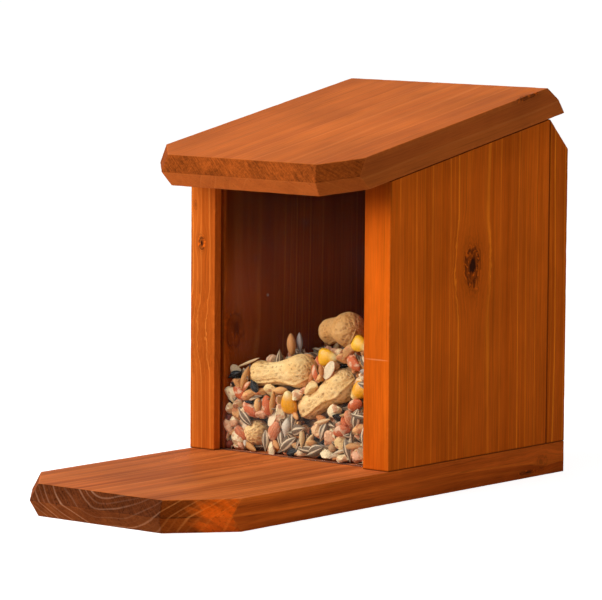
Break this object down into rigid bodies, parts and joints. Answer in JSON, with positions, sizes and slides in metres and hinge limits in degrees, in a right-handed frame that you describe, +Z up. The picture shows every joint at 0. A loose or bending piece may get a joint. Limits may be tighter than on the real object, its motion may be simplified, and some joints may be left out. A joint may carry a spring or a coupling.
{
  "type": "wooden bird feeder",
  "caption": "Wooden hopper feeder for birds and squirrels: a box on a long perch board, with a clear front window, a hinged sloping roof and a fill of seed and peanuts.",
  "frame": {"origin": "middle of the base board's underside, under the centre of the whole feeder", "axes": "+X to the right as seen from the perch, +Y from the perch to the wall side, +Z up"},
  "size_m": [0.12, 0.275, 0.187],
  "materials": {
    "stained_wood": "orange-brown stain on planed softwood, satin",
    "clear_acrylic": "clear, polished, slightly dusty",
    "hinge_metal": "zinc plated",
    "screw_metal": "zinc plated",
    "seed_mix": "mixed seeds, dry and matte",
    "peanut_shell": "dry netted shell, matte"
  },
  "bodies": {
    "box": {"base_board": "stained_wood", "left_side_panel": "stained_wood", "right_side_panel": "stained_wood", "back_board": "stained_wood", "hinge_leaf_back_left": "hinge_metal", "hinge_leaf_back_right": "hinge_metal", "hinge_pin_left": "hinge_metal", "hinge_pin_right": "hinge_metal", "panel_screws": "screw_metal", "base_back_screws": "screw_metal", "back_board_screws": "screw_metal", "hinge_screws_back": "screw_metal", "seed_heap": "seed_mix", "peanut_across": "peanut_shell", "peanut_low_right": "peanut_shell", "peanut_high_right": "peanut_shell", "peanut_end_on": "peanut_shell"},
    "lid": {"roof_lid": "stained_wood", "hinge_leaf_lid_left": "hinge_metal", "hinge_leaf_lid_right": "hinge_metal", "hinge_screws_lid": "screw_metal"},
    "window": {"front_window": "clear_acrylic"}
  },
  "joints": [
    {"name": "lid_hinge", "type": "hinge", "parent": "box", "child": "lid", "pos_m": [0, 0.12602, 0.17101], "axis": [-1, 0, 0], "range_deg": [0, 60]},
    {"name": "window_slide", "type": "slide", "parent": "box", "child": "window", "axis": [0, 0, 1], "range_m": [0, 0.002]}
  ]
}
